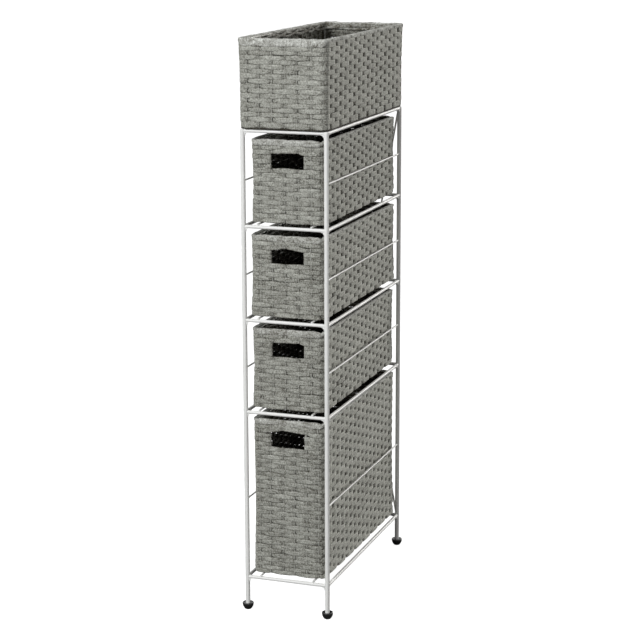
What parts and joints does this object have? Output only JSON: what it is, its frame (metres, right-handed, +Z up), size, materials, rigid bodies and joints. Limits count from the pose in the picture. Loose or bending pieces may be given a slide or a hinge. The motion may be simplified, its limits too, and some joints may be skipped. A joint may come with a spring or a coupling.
{
  "type": "bathroom storage tower",
  "caption": "Slim free-standing storage tower: a white rod frame on small feet holds woven drawers that slide on wires, with an open woven basket on top.",
  "frame": {"origin": "on the floor, under the centre of the four posts", "axes": "+Z up; the fronts of the drawers face -Y, so a drawer opens towards -Y; +X is to the right of someone facing the drawers turned to +Y"},
  "size_m": [0.1986, 0.5044, 1.1812],
  "materials": {
    "frame_white": "glossy white powder coat on steel rod",
    "foot_black": "moulded, smooth",
    "paper_rope": "grey paper rope, plain weave",
    "basket_wire": "drawn steel wire"
  },
  "bodies": {
    "frame": {"post_front_left": "frame_white", "post_front_right": "frame_white", "post_rear_left": "frame_white", "post_rear_right": "frame_white", "foot_front_left": "foot_black", "foot_front_right": "foot_black", "foot_rear_left": "foot_black", "foot_rear_right": "foot_black", "front_bar_1": "frame_white", "front_bar_2": "frame_white", "front_bar_3": "frame_white", "front_bar_4": "frame_white", "front_bar_5": "frame_white", "rear_bar_1": "frame_white", "rear_bar_2": "frame_white", "rear_bar_3": "frame_white", "rear_bar_4": "frame_white", "rear_bar_5": "frame_white", "left_rail_1": "frame_white", "left_rail_2": "frame_white", "left_rail_3": "frame_white", "left_rail_4": "frame_white", "left_rail_5": "frame_white", "right_rail_1": "frame_white", "right_rail_2": "frame_white", "right_rail_3": "frame_white", "right_rail_4": "frame_white", "right_rail_5": "frame_white", "runner_wires_1": "frame_white", "runner_wires_2": "frame_white", "runner_wires_3": "frame_white", "runner_wires_4": "frame_white", "runner_wires_5": "frame_white", "left_guard_1": "frame_white", "left_guard_2": "frame_white", "left_guard_3": "frame_white", "left_guard_4": "frame_white", "right_guard_1": "frame_white", "right_guard_2": "frame_white", "right_guard_3": "frame_white", "right_guard_4": "frame_white", "brace_wire_straight": "frame_white", "brace_wire_bowed": "frame_white", "ring_fillets": "frame_white"},
    "tall_drawer": {"tall_drawer": "paper_rope", "tall_drawer_wires": "basket_wire"},
    "small_drawer_1": {"small_drawer_1": "paper_rope", "small_drawer_1_wires": "basket_wire"},
    "small_drawer_2": {"small_drawer_2": "paper_rope", "small_drawer_2_wires": "basket_wire"},
    "small_drawer_3": {"small_drawer_3": "paper_rope", "small_drawer_3_wires": "basket_wire"},
    "top_basket": {"top_basket": "paper_rope", "top_basket_wires": "basket_wire"}
  },
  "joints": [
    {"name": "tall_drawer_slide", "type": "slide", "parent": "frame", "child": "tall_drawer", "axis": [0, -1, 0], "range_m": [-0.007, 0.39]},
    {"name": "small_drawer_1_slide", "type": "slide", "parent": "frame", "child": "small_drawer_1", "axis": [0, -1, 0], "range_m": [-0.007, 0.39]},
    {"name": "small_drawer_2_slide", "type": "slide", "parent": "frame", "child": "small_drawer_2", "axis": [0, -1, 0], "range_m": [-0.007, 0.39]},
    {"name": "small_drawer_3_slide", "type": "slide", "parent": "frame", "child": "small_drawer_3", "axis": [0, -1, 0], "range_m": [-0.007, 0.39]},
    {"name": "top_basket_lift", "type": "slide", "parent": "frame", "child": "top_basket", "axis": [0, 0, 1], "range_m": [0, 0.12]}
  ]
}
